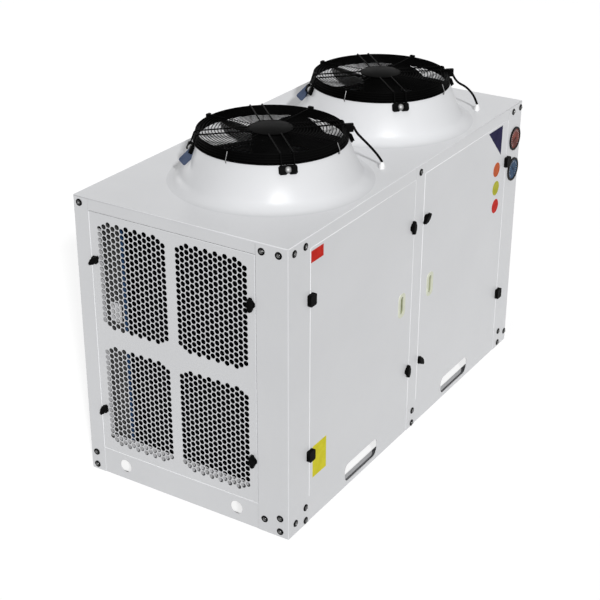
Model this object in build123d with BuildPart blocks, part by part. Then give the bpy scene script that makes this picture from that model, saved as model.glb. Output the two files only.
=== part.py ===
"""Monoblock condensing unit: sheet-metal cabinet with two upright axial fans.

Frame: X runs along the cabinet, a perforated end faces -X, the service side faces -Y,
+Z is up, and the origin is the centre of the footprint on the ground. Millimetres.
"""

import os
from math import cos, radians, sin, sqrt, tan

from build123d import *

os.makedirs("parts", exist_ok=True)

# Cabinet
LENGTH = 2000.0
WIDTH = 980.0
HEIGHT = 1235.0
SHEET = 2.0
RAIL_SHEET = 3.0
EDGE_ROUND = 1.5
POST_ROUND = 3.0

# Base frame
RAIL_HEIGHT = 120.0
RAIL_FLANGE = 40.0
FLOOR_SHEET = 2.0
SLOT_LENGTH = 268.0
SLOT_HEIGHT = 82.0
SLOT_ROUND = 30.0
SLOT_MIDDLE_Z = 60.0
SLOT_OFFSET_X = 432.0
LIFT_HOLE_R = 28.0
LIFT_HOLE_Z = 62.0
LIFT_HOLE_FRONT_Y = -245.0
LIFT_HOLE_BACK_Y = 311.0
ANCHOR_HOLE_R = 7.0
ANCHOR_X = 750.0

# Posts
POST_SIDE_LEFT = 150.0
POST_SIDE_RIGHT = 140.0
POST_END_FRONT = 139.0
POST_END_BACK = 70.0
POST_LIP = 18.0
MID_POST_WIDTH = 77.0
MID_POST_X = 3.5

# Lift-off panels
SEAM = 3.0
TOP_BAND = 50.0
PANEL_LIP = 20.0
FASTENER_TOP_Z = 981.0
FASTENER_LOW_Z = 310.0
FASTENER_IN = 20.0

# Perforated fields of the end panels
FIELD_WIDTH = 327.0
FIELD_HEIGHT = 459.0
FIELD_GAP_Y = 45.0
FIELD_GAP_Z = 78.0
FIELD_MIDDLE_Z = 652.0
FIELD_COLUMNS = 5
FIELD_ROWS = 6
WEB_SHARE = 0.15

# Pull handles
HANDLE_WIDTH = 46.0
HANDLE_HEIGHT = 98.0
HANDLE_ROUND = 17.0
HANDLE_DEPTH = 18.0
HANDLE_WALL = 2.0
HANDLE_RIM = 5.5
HANDLE_FIT = 0.3
HANDLE_MOUTH_WIDTH = 25.0
HANDLE_MOUTH_HEIGHT = 81.0
HANDLE_SHALLOW = 4.0
HANDLE_Z = 651.0
HANDLE_EDGE = 88.0

# Panel fasteners
KNOB_R = 18.0
KNOB_SIDES = 8
KNOB_BASE = 5.0
WING_LENGTH = 58.0
WING_WIDTH = 26.0
WING_END = 10.0
WING_SHOULDER = 9.0
WING_HEIGHT = 12.0
WING_DRAFT = 8.0
LATCH_WIDTH = 40.0
LATCH_HEIGHT = 46.0
LATCH_PROUD = 17.0
LATCH_CORNER = 4.0

# Fans
FAN_X = 438.0
FAN_Y = -51.0
COWL_HEIGHT = 162.0
COWL_TOP_R = 304.0
COWL_SLOPE = 66.7
COWL_FOOT_ROUND = 60.0
COWL_FOOT_STEPS = 4
COWL_FIT = 0.1
THROAT_R = 286.0
THROAT_DEPTH = 105.0
ROTOR_R = 280.0
HUB_R = 74.0
HUB_HEIGHT = 96.0
HUB_BEVEL = 9.0
BLADES = 5
BLADE_SHEET = 3.0
BLADE_RISE = 88.0
BLADE_CAMBER = 24.0
BLADE_CHORD = 250.0
BLADE_ROOT_IN = 4.0
BLADE_MIDDLE_R = 190.0
LEAD_TURNS = (34.0, 21.0, 8.0)
TAIL_TURNS = (-34.0, -16.0, -30.0)
SHAFT_R = 10.0
SHAFT_FIT = 0.1
SHAFT_LENGTH = 70.0

# Fan guards
GUARD_HEIGHT = 47.0
GUARD_TOP_R = 293.0
GUARD_SIDES = 24
GUARD_RINGS = (235.0, 185.0, 135.0)
GUARD_DISC_R = 88.0
WIRE = 5.0
BAND_SHEET = 2.0
STRUT = 6.0
STRUT_SPREAD = 50.0
LUG_WIDTH = 72.0
LUG_HEIGHT = 36.0
LUG_SHEET = 7.0
LUG_DROP = 17.0
LUG_NOTCH = 16.0
LUG_FIT = 0.3
LUG_CORNER = 6.0
LUGS = 4
LUG_START = 45.0
EAR_WIDTH = 18.0
EAR_HEIGHT = 8.0
CLIP_ASIDE = 28.0
CLIP_REACH = 32.0
CLIP_WIDTH = 16.0
CLIP_HEIGHT = 14.0
STATOR_R = 60.0
STATOR_HEIGHT = 12.0
RUN_GAP = 7.0

# Gauges on the front right post
GAUGE_R = 55.0
GAUGE_RIM = 9.0
GAUGE_RECESS = 3.0
GAUGE_PROUD = 6.0
GAUGE_CASE_R = 46.0
GAUGE_CASE_DEPTH = 34.0
GAUGE_IN = 61.0
GAUGE_UPPER_Z = 1070.0
GAUGE_LOWER_Z = 920.0
GAUGE_FIT = 0.3

# Coils behind the end panels
COIL_DEPTH = 90.0
COIL_GAP = 45.0
COIL_FRONT_Y = -400.0
COIL_BACK_Y = 258.0
COIL_PLATE = 2.0
COIL_FIN_RECESS = 6.0
COIL_TOP_CLEAR = 30.0
BLANK_SHEET = 1.5

# Fan cables and their glands, placed from each fan's axis
GLAND_R = 13.0
GLAND_DOME_R = 11.0
GLAND_MOUTH_R = 7.5
GLAND_HEIGHT = 28.0
GLAND_HEX = 12.0
GLAND_X = 321.0
GLAND_Y = -323.0
CABLE_R = 5.0
CABLE_SIDES = 8
CABLE_BEND_SHARE = 0.45

half_length = LENGTH / 2
half_width = WIDTH / 2
top_z = HEIGHT - SHEET
panel_top_z = HEIGHT - TOP_BAND - SEAM
panel_height = panel_top_z - RAIL_HEIGHT
floor_top_z = RAIL_HEIGHT + FLOOR_SHEET
rail_x = half_length - SHEET
rail_y = half_width - SHEET
cowl_top_z = HEIGHT + COWL_HEIGHT
guard_top_z = cowl_top_z + GUARD_HEIGHT

mid_left_x = MID_POST_X - MID_POST_WIDTH / 2
mid_right_x = MID_POST_X + MID_POST_WIDTH / 2
side_left_x = -half_length + POST_SIDE_LEFT
side_right_x = half_length - POST_SIDE_RIGHT
gauge_x = half_length - GAUGE_IN
end_front_y = -half_width + POST_END_FRONT
end_back_y = half_width - POST_END_BACK


def save(part, name):
    part.label = name
    export_step(part, f"parts/{name}.step")


# Saves one copy of a fan's piece, which is built about the origin, on each fan's axis.
def save_on_fans(part, name):
    for side_name, centre_x in (("left", -FAN_X), ("right", FAN_X)):
        with BuildPart() as placed:
            with Locations((centre_x, FAN_Y, 0)):
                add(part)
        save(placed.part, f"{name}_{side_name}")


# Base rails: channels with the flanges turned inwards, forklift slots in the long ones.
def long_rail(side):
    web_y = side * (rail_y - RAIL_SHEET / 2)
    flange_y = side * (rail_y - RAIL_SHEET - RAIL_FLANGE / 2)
    flange_length = 2 * (rail_x - RAIL_SHEET - RAIL_FLANGE)
    with BuildPart() as rail:
        with Locations((0, web_y, 0)):
            Box(2 * rail_x, RAIL_SHEET, RAIL_HEIGHT, align=(Align.CENTER, Align.CENTER, Align.MIN))
        for flange_z in (RAIL_SHEET / 2, RAIL_HEIGHT - RAIL_SHEET / 2):
            with Locations((0, flange_y, flange_z)):
                Box(flange_length, RAIL_FLANGE, RAIL_SHEET)
        with BuildSketch(Plane.XZ.offset(-side * rail_y)):
            with Locations((-SLOT_OFFSET_X, SLOT_MIDDLE_Z), (SLOT_OFFSET_X, SLOT_MIDDLE_Z)):
                RectangleRounded(SLOT_LENGTH, SLOT_HEIGHT, SLOT_ROUND)
        extrude(amount=2 * RAIL_SHEET, both=True, mode=Mode.SUBTRACT)
        with Locations((-ANCHOR_X, flange_y, RAIL_SHEET), (ANCHOR_X, flange_y, RAIL_SHEET)):
            Hole(ANCHOR_HOLE_R, depth=RAIL_SHEET)
    return rail.part


def end_rail(side):
    web_x = side * (rail_x - RAIL_SHEET / 2)
    flange_x = side * (rail_x - RAIL_SHEET - RAIL_FLANGE / 2)
    inner_width = 2 * (rail_y - RAIL_SHEET)
    with BuildPart() as rail:
        with Locations((web_x, 0, 0)):
            Box(RAIL_SHEET, inner_width, RAIL_HEIGHT, align=(Align.CENTER, Align.CENTER, Align.MIN))
        for flange_z in (RAIL_SHEET / 2, RAIL_HEIGHT - RAIL_SHEET / 2):
            with Locations((flange_x, 0, flange_z)):
                Box(RAIL_FLANGE, inner_width, RAIL_SHEET)
        with BuildSketch(Plane.YZ.offset(side * rail_x)):
            with Locations((LIFT_HOLE_FRONT_Y, LIFT_HOLE_Z), (LIFT_HOLE_BACK_Y, LIFT_HOLE_Z)):
                Circle(LIFT_HOLE_R)
        extrude(amount=2 * RAIL_SHEET, both=True, mode=Mode.SUBTRACT)
    return rail.part


save(long_rail(-1), "base_rail_front")
save(long_rail(1), "base_rail_back")
save(end_rail(-1), "base_rail_left")
save(end_rail(1), "base_rail_right")

# Floor pan on the rails' upper flanges
with BuildPart() as floor_pan:
    with Locations((0, 0, RAIL_HEIGHT)):
        Box(
            2 * (rail_x - RAIL_FLANGE / 2),
            2 * (rail_y - RAIL_FLANGE / 2),
            FLOOR_SHEET,
            align=(Align.CENTER, Align.CENTER, Align.MIN),
        )
save(floor_pan.part, "floor_pan")


# Corner posts: full-height angles folded from sheet, with a lip along each free edge.
def corner_post(side_x, side_y, side_leg, end_leg):
    corner_x = side_x * half_length
    corner_y = side_y * half_width
    with BuildPart() as post:
        with BuildSketch():
            with Locations((corner_x - side_x * side_leg / 2, corner_y - side_y * SHEET / 2)):
                Rectangle(side_leg, SHEET)
            with Locations((corner_x - side_x * SHEET / 2, corner_y - side_y * end_leg / 2)):
                Rectangle(SHEET, end_leg)
        extrude(amount=top_z)
        with BuildSketch(Plane.XY.offset(RAIL_HEIGHT)):
            with Locations(
                (corner_x - side_x * (side_leg - SHEET / 2), corner_y - side_y * (SHEET + POST_LIP) / 2)
            ):
                Rectangle(SHEET, SHEET + POST_LIP)
            with Locations(
                (corner_x - side_x * (SHEET + POST_LIP) / 2, corner_y - side_y * (end_leg - SHEET / 2))
            ):
                Rectangle(SHEET + POST_LIP, SHEET)
        extrude(amount=top_z - RAIL_HEIGHT)
        upright = post.edges().filter_by(Axis.Z)
        outer = upright.sort_by(lambda edge: (edge @ 0.5 - Vector(corner_x, corner_y, top_z / 2)).length)
        fillet(outer[0], POST_ROUND)
        if side_x > 0 and side_y < 0:
            with BuildSketch(Plane.XZ.offset(-corner_y)):
                with Locations((gauge_x, GAUGE_UPPER_Z), (gauge_x, GAUGE_LOWER_Z)):
                    Circle(GAUGE_CASE_R + GAUGE_FIT)
            extrude(amount=2 * SHEET, both=True, mode=Mode.SUBTRACT)
    return post.part


save(corner_post(-1, -1, POST_SIDE_LEFT, POST_END_FRONT), "corner_post_front_left")
save(corner_post(1, -1, POST_SIDE_RIGHT, POST_END_FRONT), "corner_post_front_right")
save(corner_post(-1, 1, POST_SIDE_LEFT, POST_END_BACK), "corner_post_back_left")
save(corner_post(1, 1, POST_SIDE_RIGHT, POST_END_BACK), "corner_post_back_right")


# Middle posts: the same height, a flat face with two deep lips.
def mid_post(side):
    with BuildPart() as post:
        with BuildSketch():
            with Locations((MID_POST_X, side * (half_width - SHEET / 2))):
                Rectangle(MID_POST_WIDTH, SHEET)
        extrude(amount=top_z)
        with BuildSketch(Plane.XY.offset(RAIL_HEIGHT)):
            for edge_x in (mid_left_x + SHEET / 2, mid_right_x - SHEET / 2):
                with Locations((edge_x, side * (half_width - (SHEET + POST_LIP) / 2))):
                    Rectangle(SHEET, SHEET + POST_LIP)
        extrude(amount=top_z - RAIL_HEIGHT)
    return post.part


save(mid_post(-1), "mid_post_front")
save(mid_post(1), "mid_post_back")

# Cowl section, worked out from its slope and the round at its foot.
slope = radians(COWL_SLOPE)
foot_centre_z = HEIGHT + COWL_FOOT_ROUND
foot_end_z = foot_centre_z - COWL_FOOT_ROUND * cos(slope)
foot_end_r = COWL_TOP_R + (cowl_top_z - foot_end_z) / tan(slope)
foot_r = foot_end_r + COWL_FOOT_ROUND * sin(slope)

# Top panel: a tray whose edges turn down between the posts, open under both cowls.
with BuildPart() as top_panel:
    with Locations((0, 0, top_z)):
        Box(LENGTH, WIDTH, SHEET, align=(Align.CENTER, Align.CENTER, Align.MIN))
    for side in (-1, 1):
        band_y = side * (half_width - SHEET / 2)
        for low_x, high_x in ((side_left_x, mid_left_x), (mid_right_x, side_right_x)):
            with Locations(((low_x + high_x) / 2, band_y, HEIGHT - TOP_BAND)):
                Box(
                    high_x - low_x - SEAM,
                    SHEET,
                    TOP_BAND - SHEET,
                    align=(Align.CENTER, Align.CENTER, Align.MIN),
                )
        band_x = side * (half_length - SHEET / 2)
        with Locations((band_x, (end_front_y + end_back_y) / 2, HEIGHT - TOP_BAND)):
            Box(
                SHEET,
                end_back_y - end_front_y - SEAM,
                TOP_BAND - SHEET,
                align=(Align.CENTER, Align.CENTER, Align.MIN),
            )
    with Locations((-FAN_X, FAN_Y, HEIGHT), (FAN_X, FAN_Y, HEIGHT)):
        Hole(foot_r + COWL_FIT, depth=SHEET)
    rim = top_panel.faces().sort_by(Axis.Z)[-1].outer_wire().edges()
    fillet(rim, EDGE_ROUND)
save(top_panel.part, "top_panel")


# Points along the foot's round, from the panel up to where the cone starts.
def foot_points(radius):
    turns = [slope * step / COWL_FOOT_STEPS for step in range(COWL_FOOT_STEPS + 1)]
    return [(foot_r - radius * sin(turn), foot_centre_z - radius * cos(turn)) for turn in turns]


# Spun cowl: round foot, straight cone, flat lip and the throat that the rotor runs in.
inner_foot = foot_points(COWL_FOOT_ROUND + SHEET)
lip_z = cowl_top_z - SHEET
inner_top_r = inner_foot[-1][0] - (lip_z - inner_foot[-1][1]) / tan(slope)
with BuildPart() as fan_cowl:
    with BuildSketch(Plane.XZ):
        with BuildLine():
            Polyline(
                *foot_points(COWL_FOOT_ROUND),
                (COWL_TOP_R, cowl_top_z),
                (THROAT_R, cowl_top_z),
                (THROAT_R, cowl_top_z - THROAT_DEPTH),
                (THROAT_R + SHEET, cowl_top_z - THROAT_DEPTH),
                (THROAT_R + SHEET, lip_z),
                (inner_top_r, lip_z),
                *reversed(inner_foot),
                close=True,
            )
        make_face()
    revolve(axis=Axis.Z)
save_on_fans(fan_cowl.part, "fan_cowl")

# One column of a field is offset by half a pitch from the next, as in punched sheet.
hole_pitch = FIELD_WIDTH / ((FIELD_COLUMNS - 1) * sqrt(3) / 2 + (1 - WEB_SHARE) * 2 / sqrt(3))
hole_flats = hole_pitch * (1 - WEB_SHARE)
column_pitch = hole_pitch * sqrt(3) / 2
field_places = []
for column in range(FIELD_COLUMNS):
    rows = FIELD_ROWS - column % 2
    for row in range(rows):
        place_y = (column - (FIELD_COLUMNS - 1) / 2) * column_pitch
        place_z = (row - (rows - 1) / 2) * hole_pitch
        field_places.append((place_y, place_z))


# End panels: lift-off trays with four perforated fields.
panel_low_y = end_front_y + SEAM
panel_high_y = end_back_y - SEAM
panel_width = panel_high_y - panel_low_y
panel_middle_y = (panel_low_y + panel_high_y) / 2
field_y = (FIELD_WIDTH + FIELD_GAP_Y) / 2
field_z = (FIELD_HEIGHT + FIELD_GAP_Z) / 2
with BuildPart() as end_panel:
    with Locations((-half_length + SHEET / 2, panel_middle_y, RAIL_HEIGHT)):
        Box(SHEET, panel_width, panel_height, align=(Align.CENTER, Align.CENTER, Align.MIN))
    fillet(end_panel.faces().sort_by(Axis.X)[0].edges(), EDGE_ROUND)
    lip_x = -half_length + SHEET + PANEL_LIP / 2
    for lip_z in (RAIL_HEIGHT + SHEET / 2, panel_top_z - SHEET / 2):
        with Locations((lip_x, panel_middle_y, lip_z)):
            Box(PANEL_LIP, panel_width, SHEET)
    for lip_y in (panel_low_y + SHEET / 2, panel_high_y - SHEET / 2):
        with Locations((lip_x, lip_y, RAIL_HEIGHT)):
            Box(PANEL_LIP, SHEET, panel_height, align=(Align.CENTER, Align.CENTER, Align.MIN))
    with BuildSketch(Plane.YZ.offset(-half_length)):
        for offset_y in (-field_y, field_y):
            for offset_z in (-field_z, field_z):
                with Locations((panel_middle_y + offset_y, FIELD_MIDDLE_Z + offset_z)):
                    with Locations(*field_places):
                        RegularPolygon(hole_flats / 2, 6, major_radius=False)
    extrude(amount=2 * SHEET, both=True, mode=Mode.SUBTRACT)
save(end_panel.part, "end_panel_left")

with BuildPart() as end_panel_right:
    mirror(end_panel.part, about=Plane.YZ)
save(end_panel_right.part, "end_panel_right")

# Doors: lift-off trays, each with one recessed pull handle towards the middle post.
doors = (
    ("left", side_left_x + SEAM, mid_left_x - SEAM, mid_left_x - HANDLE_EDGE),
    ("right", mid_right_x + SEAM, side_right_x - SEAM, mid_right_x + HANDLE_EDGE),
)


def door(side, low_x, high_x, handle_x):
    width = high_x - low_x
    middle_x = (low_x + high_x) / 2
    face_y = side * half_width
    with BuildPart() as panel:
        with Locations((middle_x, face_y - side * SHEET / 2, RAIL_HEIGHT)):
            Box(width, SHEET, panel_height, align=(Align.CENTER, Align.CENTER, Align.MIN))
        edge_faces = panel.faces().sort_by(Axis.Y)
        front_face = edge_faces[-1] if side > 0 else edge_faces[0]
        fillet(front_face.edges(), EDGE_ROUND)
        lip_y = face_y - side * (SHEET + PANEL_LIP / 2)
        for lip_z in (RAIL_HEIGHT + SHEET / 2, panel_top_z - SHEET / 2):
            with Locations((middle_x, lip_y, lip_z)):
                Box(width, PANEL_LIP, SHEET)
        for lip_x in (low_x + SHEET / 2, high_x - SHEET / 2):
            with Locations((lip_x, lip_y, RAIL_HEIGHT)):
                Box(SHEET, PANEL_LIP, panel_height, align=(Align.CENTER, Align.CENTER, Align.MIN))
        with BuildSketch(Plane.XZ.offset(-face_y)):
            with Locations((handle_x, HANDLE_Z)):
                RectangleRounded(HANDLE_WIDTH, HANDLE_HEIGHT, HANDLE_ROUND)
        extrude(amount=2 * SHEET, both=True, mode=Mode.SUBTRACT)
    return panel.part


for side, side_name in ((-1, "front"), (1, "back")):
    for door_name, low_x, high_x, handle_x in doors:
        save(door(side, low_x, high_x, handle_x), f"door_{side_name}_{door_name}")


# Pull handle: a moulded cup in the door's cut-out under a thin plate. Its mouth has round
# ends, and its floor slopes down to the side where the fingers take hold.
def pull_handle(side, handle_x):
    face_y = side * half_width
    face = Plane.XZ.offset(-face_y)
    hold_x = HANDLE_MOUTH_WIDTH / 2 if handle_x < MID_POST_X else -HANDLE_MOUTH_WIDTH / 2
    with BuildPart() as handle:
        with BuildSketch(face):
            with Locations((handle_x, HANDLE_Z)):
                RectangleRounded(
                    HANDLE_WIDTH + 2 * HANDLE_RIM,
                    HANDLE_HEIGHT + 2 * HANDLE_RIM,
                    HANDLE_ROUND + HANDLE_RIM,
                )
        extrude(amount=-side * HANDLE_WALL)
        with BuildSketch(face):
            with Locations((handle_x, HANDLE_Z)):
                RectangleRounded(
                    HANDLE_WIDTH - 2 * HANDLE_FIT,
                    HANDLE_HEIGHT - 2 * HANDLE_FIT,
                    HANDLE_ROUND - HANDLE_FIT,
                )
        extrude(amount=side * HANDLE_DEPTH)
        with BuildPart(mode=Mode.SUBTRACT):
            with BuildSketch():
                Polygon(
                    (handle_x - hold_x, face_y + side * HANDLE_WALL),
                    (handle_x + hold_x, face_y + side * HANDLE_WALL),
                    (handle_x + hold_x, face_y - side * (HANDLE_DEPTH - HANDLE_WALL)),
                    (handle_x - hold_x, face_y - side * HANDLE_SHALLOW),
                    align=None,
                )
            extrude(amount=HEIGHT)
            with BuildSketch(face):
                with Locations((handle_x, HANDLE_Z)):
                    SlotOverall(HANDLE_MOUTH_HEIGHT, HANDLE_MOUTH_WIDTH, rotation=90)
            extrude(amount=HANDLE_DEPTH, both=True, mode=Mode.INTERSECT)
    return handle.part


# Each side's two handles lie beside the middle post.
def pull_handles(side):
    with BuildPart() as pair:
        for _, _, _, handle_x in doors:
            add(pull_handle(side, handle_x))
    return pair.part


save(pull_handles(-1), "pull_handles_front")
save(pull_handles(1), "pull_handles_back")


# Outline of a fastener's wing: widest in the middle, narrow at both ends.
wing_quarter = [(WING_WIDTH / 2, WING_SHOULDER), (WING_END / 2, WING_LENGTH / 2)]
wing_outline = [
    *wing_quarter,
    *((-x, y) for x, y in reversed(wing_quarter)),
    *((-x, -y) for x, y in wing_quarter),
    *((x, -y) for x, y in reversed(wing_quarter)),
]


# Panel fasteners: quarter-turn wings on low bases, and latch blocks at the given places.
def fasteners(plane_at, wings, latches=()):
    with BuildPart() as knobs:
        for across, z, turn in wings:
            seat = plane_at(across, z)
            with BuildSketch(seat):
                RegularPolygon(KNOB_R, KNOB_SIDES, rotation=180 / KNOB_SIDES)
            extrude(amount=KNOB_BASE)
            with BuildSketch(seat.offset(KNOB_BASE)):
                Polygon(*wing_outline, rotation=turn, align=None)
            extrude(amount=WING_HEIGHT, taper=WING_DRAFT)
        for across in latches:
            for z in (FASTENER_TOP_Z, FASTENER_LOW_Z):
                with BuildSketch(plane_at(across, z)) as block:
                    Rectangle(LATCH_WIDTH, LATCH_HEIGHT)
                    chamfer(block.vertices(), LATCH_CORNER)
                extrude(amount=LATCH_PROUD)
    return knobs.part


def side_plane(side):
    return lambda x, z: Plane((x, side * half_width, z), x_dir=(1, 0, 0), z_dir=(0, side, 0))


def end_plane(side):
    return lambda y, z: Plane((side * half_length, y, z), x_dir=(0, 1, 0), z_dir=(side, 0, 0))


# Wings are left at the turn that shuts them. Latches bear on the corner post and the door.
door_left_wings = [(mid_left_x - FASTENER_IN, z, 0) for z in (FASTENER_TOP_Z, FASTENER_LOW_Z)]
door_right_wings = [
    (mid_right_x + FASTENER_IN, FASTENER_TOP_Z, -60),
    (mid_right_x + FASTENER_IN, FASTENER_LOW_Z, 38),
]
end_wings = [
    (end_front_y + FASTENER_IN, FASTENER_TOP_Z, 0),
    (end_front_y + FASTENER_IN, FASTENER_LOW_Z, 0),
    (end_back_y - FASTENER_IN, FASTENER_TOP_Z, -48),
    (end_back_y - FASTENER_IN, FASTENER_LOW_Z, -32),
]
for side, side_name in ((-1, "front"), (1, "back")):
    save(fasteners(side_plane(side), door_left_wings, (side_left_x,)), f"fasteners_{side_name}_left")
    save(fasteners(side_plane(side), door_right_wings, (side_right_x,)), f"fasteners_{side_name}_right")

for side, side_name in ((-1, "left"), (1, "right")):
    save(fasteners(end_plane(side), end_wings), f"fasteners_end_{side_name}")


# Condenser coils: a finned block between two tube plates, with a blanking sheet beside it.
def coil(side):
    face_x = side * (half_length - COIL_GAP)
    middle_x = face_x - side * COIL_DEPTH / 2
    height = top_z - COIL_TOP_CLEAR - floor_top_z
    with BuildPart() as block:
        with Locations((middle_x, (COIL_FRONT_Y + COIL_BACK_Y) / 2, floor_top_z)):
            Box(
                COIL_DEPTH - 2 * COIL_FIN_RECESS,
                COIL_BACK_Y - COIL_FRONT_Y,
                height,
                align=(Align.CENTER, Align.CENTER, Align.MIN),
            )
        for plate_y in (COIL_FRONT_Y - COIL_PLATE / 2, COIL_BACK_Y + COIL_PLATE / 2):
            with Locations((middle_x, plate_y, floor_top_z)):
                Box(COIL_DEPTH, COIL_PLATE, height, align=(Align.CENTER, Align.CENTER, Align.MIN))
        blank_low_y = COIL_BACK_Y + COIL_PLATE
        blank_high_y = half_width - SHEET - POST_LIP
        with Locations((face_x - side * BLANK_SHEET / 2, (blank_low_y + blank_high_y) / 2, floor_top_z)):
            Box(
                BLANK_SHEET,
                blank_high_y - blank_low_y,
                height,
                align=(Align.CENTER, Align.CENTER, Align.MIN),
            )
    return block.part


save(coil(-1), "coil_left")
save(coil(1), "coil_right")

# One blade in the hub's frame: a cambered sheet trimmed to a sickle outline.
def polar(radius, degrees):
    return (radius * cos(radians(degrees)), radius * sin(radians(degrees)))


blade_root_r = HUB_R - BLADE_ROOT_IN
edge_radii = (blade_root_r, BLADE_MIDDLE_R, ROTOR_R)
lead_edge = [polar(radius, turn) for radius, turn in zip(edge_radii, LEAD_TURNS)]
tail_edge = [polar(radius, turn) for radius, turn in zip(edge_radii, TAIL_TURNS)]
tip_middle = polar(ROTOR_R, (LEAD_TURNS[-1] + TAIL_TURNS[-1]) / 2)
with BuildPart() as blade:
    with BuildSketch(Plane.YZ):
        with BuildLine():
            lower = ThreePointArc(
                (-BLADE_CHORD / 2, -BLADE_RISE / 2),
                (0, BLADE_CAMBER),
                (BLADE_CHORD / 2, BLADE_RISE / 2),
            )
            upper = ThreePointArc(
                (-BLADE_CHORD / 2, BLADE_SHEET - BLADE_RISE / 2),
                (0, BLADE_CAMBER + BLADE_SHEET),
                (BLADE_CHORD / 2, BLADE_SHEET + BLADE_RISE / 2),
            )
            Line(lower @ 0, upper @ 0)
            Line(lower @ 1, upper @ 1)
        make_face()
    extrude(amount=ROTOR_R)
    with BuildSketch(Plane.XY.offset(-BLADE_RISE)):
        with BuildLine():
            ThreePointArc(*lead_edge)
            ThreePointArc(lead_edge[-1], tip_middle, tail_edge[-1])
            ThreePointArc(*tail_edge)
            Line(tail_edge[0], lead_edge[0])
        make_face()
    extrude(amount=2 * BLADE_RISE, mode=Mode.INTERSECT)

# Fan rotor: the outer shell of the motor turns and carries the blades.
stator_z = guard_top_z - STRUT - STATOR_HEIGHT
hub_top_z = stator_z - RUN_GAP
with BuildPart() as fan_rotor:
    with Locations((0, 0, hub_top_z)):
        Cylinder(HUB_R, HUB_HEIGHT, align=(Align.CENTER, Align.CENTER, Align.MAX))
    chamfer(fan_rotor.edges().filter_by(GeomType.CIRCLE), HUB_BEVEL)
    with Locations((0, 0, hub_top_z - HUB_HEIGHT / 2)):
        with PolarLocations(0, BLADES):
            add(blade.part)
    with Locations((0, 0, hub_top_z)):
        Hole(SHAFT_R + SHAFT_FIT, depth=SHAFT_LENGTH)
save_on_fans(fan_rotor.part, "fan_rotor")

# Fan motors' still parts: a short stator under each guard's disc with the shaft below it.
with BuildPart() as fan_motors:
    with Locations((-FAN_X, FAN_Y, stator_z), (FAN_X, FAN_Y, stator_z)):
        Cylinder(STATOR_R, STATOR_HEIGHT, align=(Align.CENTER, Align.CENTER, Align.MIN))
        Cylinder(SHAFT_R, SHAFT_LENGTH, align=(Align.CENTER, Align.CENTER, Align.MAX))
save(fan_motors.part, "fan_motors")

# One arm of a guard, along +X: two struts over the rim, and the lug that they end in.
lug_r = COWL_TOP_R + LUG_DROP / tan(slope)
lug_z = cowl_top_z - LUG_DROP
lug_out = LUG_FIT + LUG_SHEET / 2
leg_r = lug_r + lug_out * sin(slope)
leg_z = lug_z + lug_out * cos(slope)
top_low_z = guard_top_z - STRUT
strut_in_r = GUARD_DISC_R - 2 * STRUT
lug_plane = Plane((leg_r, 0, leg_z), x_dir=(0, 1, 0), z_dir=(sin(slope), 0, cos(slope)))
with BuildPart() as arm:
    for strut_y in (-STRUT_SPREAD / 2, STRUT_SPREAD / 2):
        with BuildSketch(Plane.XZ.offset(-strut_y)):
            Polygon(
                (strut_in_r, top_low_z),
                (strut_in_r, guard_top_z),
                (GUARD_TOP_R + STRUT / 2, guard_top_z),
                (COWL_TOP_R + STRUT, cowl_top_z + STRUT / 2),
                (leg_r + STRUT / 2, leg_z),
                (leg_r - STRUT / 2, leg_z),
                (COWL_TOP_R, cowl_top_z + STRUT / 2),
                (GUARD_TOP_R - STRUT / 2, top_low_z),
                align=None,
            )
        extrude(amount=STRUT / 2, both=True)
    with BuildSketch(lug_plane) as lug:
        Rectangle(LUG_WIDTH, LUG_HEIGHT)
        chamfer(lug.vertices(), LUG_CORNER)
        with Locations((0, -LUG_HEIGHT / 2)):
            RegularPolygon(LUG_NOTCH / 2, 4, mode=Mode.SUBTRACT)
    extrude(amount=LUG_SHEET / 2, both=True)
    with BuildSketch(lug_plane.offset(LUG_SHEET / 2)):
        with Locations((-STRUT_SPREAD / 2, 0), (STRUT_SPREAD / 2, 0)):
            Rectangle(EAR_WIDTH, LUG_HEIGHT - 2 * LUG_CORNER)
    extrude(amount=EAR_HEIGHT)

# Fan guard: a basket of rings on four such arms, with a cable clip on one strut.
clip_turn = radians(LUG_START - 360 / LUGS)
clip_out = Vector(cos(clip_turn), sin(clip_turn), 0)
clip_along = Vector(-clip_out.Y, clip_out.X, 0)
clip_middle = clip_out * (GUARD_TOP_R + CLIP_REACH / 2) - clip_along * CLIP_ASIDE
with BuildPart() as fan_guard:
    for heights, rings in ((cowl_top_z, (COWL_TOP_R,)), (top_low_z, (GUARD_TOP_R, *GUARD_RINGS))):
        with BuildSketch(Plane.XY.offset(heights)):
            for ring_r in rings:
                RegularPolygon(ring_r + WIRE / 2, GUARD_SIDES)
                RegularPolygon(ring_r - WIRE / 2, GUARD_SIDES, mode=Mode.SUBTRACT)
            if heights == top_low_z:
                RegularPolygon(GUARD_DISC_R, GUARD_SIDES)
        extrude(amount=STRUT)
    with PolarLocations(0, LUGS, start_angle=LUG_START):
        add(arm.part)
    with BuildSketch(Plane(clip_middle + Vector(0, 0, guard_top_z), x_dir=clip_out, z_dir=(0, 0, -1))):
        Rectangle(CLIP_REACH + STRUT, CLIP_WIDTH)
    extrude(amount=CLIP_HEIGHT)
save_on_fans(fan_guard.part, "fan_guard")

# Fan band: the black sheet ring between the cowl's lip and the guard, inside its outer ring.
band_r = GUARD_TOP_R - WIRE / 2
with BuildPart() as fan_band:
    with BuildSketch(Plane.XY.offset(cowl_top_z)):
        RegularPolygon(band_r, GUARD_SIDES)
        RegularPolygon(band_r - BAND_SHEET, GUARD_SIDES, mode=Mode.SUBTRACT)
    extrude(amount=top_low_z - cowl_top_z)
save_on_fans(fan_band.part, "fan_band")


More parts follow.
